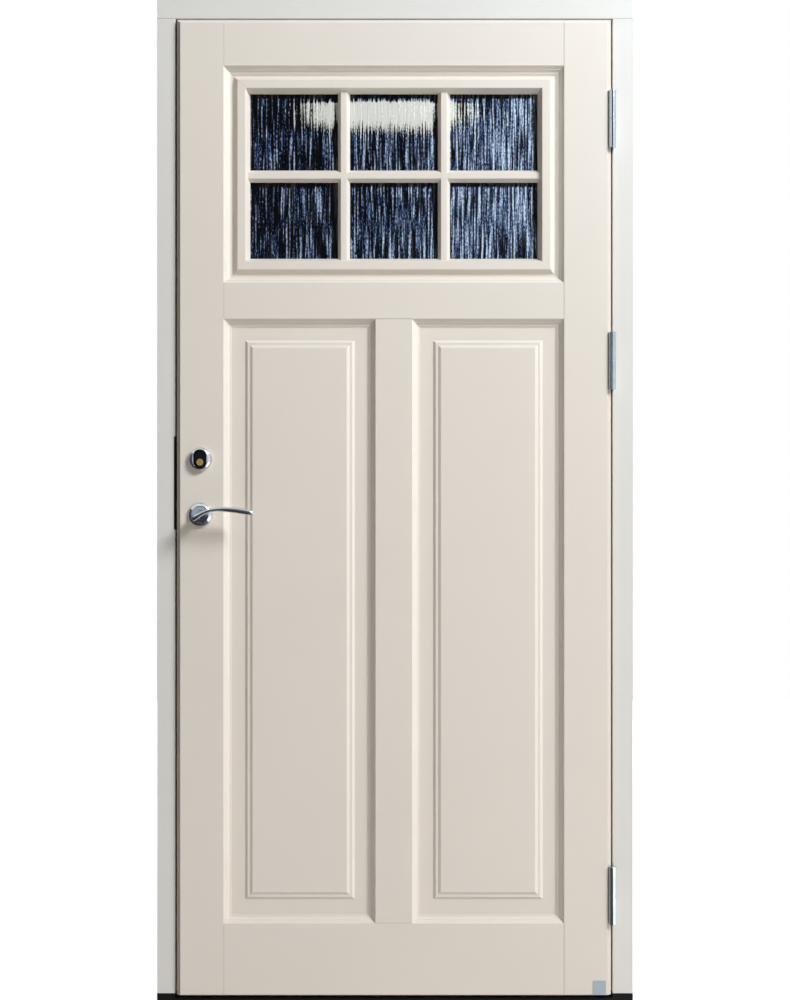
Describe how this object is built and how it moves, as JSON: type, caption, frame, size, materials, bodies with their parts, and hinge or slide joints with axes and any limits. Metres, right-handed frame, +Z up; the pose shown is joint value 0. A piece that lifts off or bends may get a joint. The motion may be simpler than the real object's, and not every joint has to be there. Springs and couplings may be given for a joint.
{
  "type": "front door",
  "caption": "Panelled outward-opening front door in its frame, glazed above with crossed bars, raised panels below, lift-off hinges, lever handle and cylinder lock.",
  "frame": {"origin": "middle of the underside of the threshold, at half the depth of the frame", "axes": "+Z up, outside faces -Y, hinges on the +X side"},
  "size_m": [0.99, 0.183, 2.09],
  "materials": {
    "leaf_paint": "satin paint on timber, warm cream",
    "frame_paint": "satin paint on timber, cool off-white",
    "threshold_black": "black stained hardwood",
    "gasket_rubber": "matte",
    "dark_steel": "dark",
    "hinge_steel": "bright zinc",
    "lock_steel": "plain",
    "handle_chrome": "polished",
    "cylinder_dark": "blackened",
    "plug_brass": "polished",
    "spacer_plastic": "matte",
    "pane_glass": "ribbed outer pane, clear inner panes",
    "core_foam": "foam",
    "raw_timber": "unpainted"
  },
  "bodies": {
    "frame": {"frame_gasket": "gasket_rubber", "frame_head": "frame_paint", "frame_jamb_hinge": "frame_paint", "frame_jamb_lock": "frame_paint", "hinge_frame_half_bottom": "hinge_steel", "hinge_frame_half_middle": "hinge_steel", "hinge_frame_half_top": "hinge_steel", "hinge_pins": "hinge_steel", "hinge_washers": "hinge_steel", "strike_plate": "dark_steel", "threshold": "threshold_black"},
    "leaf": {"bottom_rail": "leaf_paint", "cylinder_body": "cylinder_dark", "cylinder_ring": "handle_chrome", "glass_inner": "pane_glass", "glass_middle": "pane_glass", "glass_outer": "pane_glass", "glass_spacer_inner": "spacer_plastic", "glass_spacer_outer": "spacer_plastic", "glazing_bar_cross": "leaf_paint", "glazing_bar_left": "leaf_paint", "glazing_bar_right": "leaf_paint", "glazing_subframe": "raw_timber", "hinge_leaf_half_bottom": "hinge_steel", "hinge_leaf_half_middle": "hinge_steel", "hinge_leaf_half_top": "hinge_steel", "hinge_stile": "leaf_paint", "inner_beads": "leaf_paint", "inner_glazing_bars": "leaf_paint", "inner_panel_left": "leaf_paint", "inner_panel_right": "leaf_paint", "inner_rose": "handle_chrome", "lock_case": "lock_steel", "lock_faceplate": "lock_steel", "lock_stile": "leaf_paint", "middle_rail": "leaf_paint", "mullion": "leaf_paint", "outer_bead_bottom": "leaf_paint", "outer_bead_left": "leaf_paint", "outer_bead_right": "leaf_paint", "outer_bead_top": "leaf_paint", "outer_panel_left": "leaf_paint", "outer_panel_right": "leaf_paint", "outer_rose": "handle_chrome", "panel_core_left": "core_foam", "panel_core_right": "core_foam", "setting_blocks": "spacer_plastic", "thumbturn_rose": "handle_chrome", "top_rail": "leaf_paint"},
    "handle": {"inner_lever": "handle_chrome", "lock_follower": "lock_steel", "outer_lever": "handle_chrome", "spindle": "lock_steel"},
    "latch": {"latch_bolt": "lock_steel"},
    "deadbolt": {"dead_bolt": "lock_steel"},
    "thumbturn": {"bolt_cam": "lock_steel", "thumbturn_knob": "handle_chrome"},
    "plug": {"cylinder_plug": "plug_brass"}
  },
  "joints": [
    {"name": "leaf_swing", "type": "hinge", "parent": "frame", "child": "leaf", "pos_m": [0.4505, -0.071, 1], "axis": [0, 0, 1], "range_deg": [0, 175]},
    {"name": "lever_turn", "type": "hinge", "parent": "leaf", "child": "handle", "pos_m": [-0.403, -0.0355, 1.016], "axis": [0, 1, 0], "range_deg": [0, 40], "stiffness_Nm_per_rad": 1, "springref_deg": -17.19},
    {"name": "latch_slide", "type": "slide", "parent": "leaf", "child": "latch", "axis": [1, 0, 0], "range_m": [0, 0.012]},
    {"name": "thumbturn_turn", "type": "hinge", "parent": "leaf", "child": "thumbturn", "pos_m": [-0.403, -0.0355, 1.1245], "axis": [0, -1, 0], "range_deg": [0, 90]},
    {"name": "deadbolt_slide", "type": "slide", "parent": "leaf", "child": "deadbolt", "axis": [-1, 0, 0], "range_m": [0, 0.02]},
    {"name": "plug_turn", "type": "hinge", "parent": "leaf", "child": "plug", "pos_m": [-0.403, -0.0355, 1.1245], "axis": [0, -1, 0], "range_deg": [0, 90]}
  ],
  "couplings": [
    {"joint": "latch_slide", "follows": "lever_turn", "m_per_rad": 0.017188},
    {"joint": "deadbolt_slide", "follows": "thumbturn_turn", "m_per_rad": 0.012732},
    {"joint": "plug_turn", "follows": "thumbturn_turn", "ratio": 1}
  ]
}
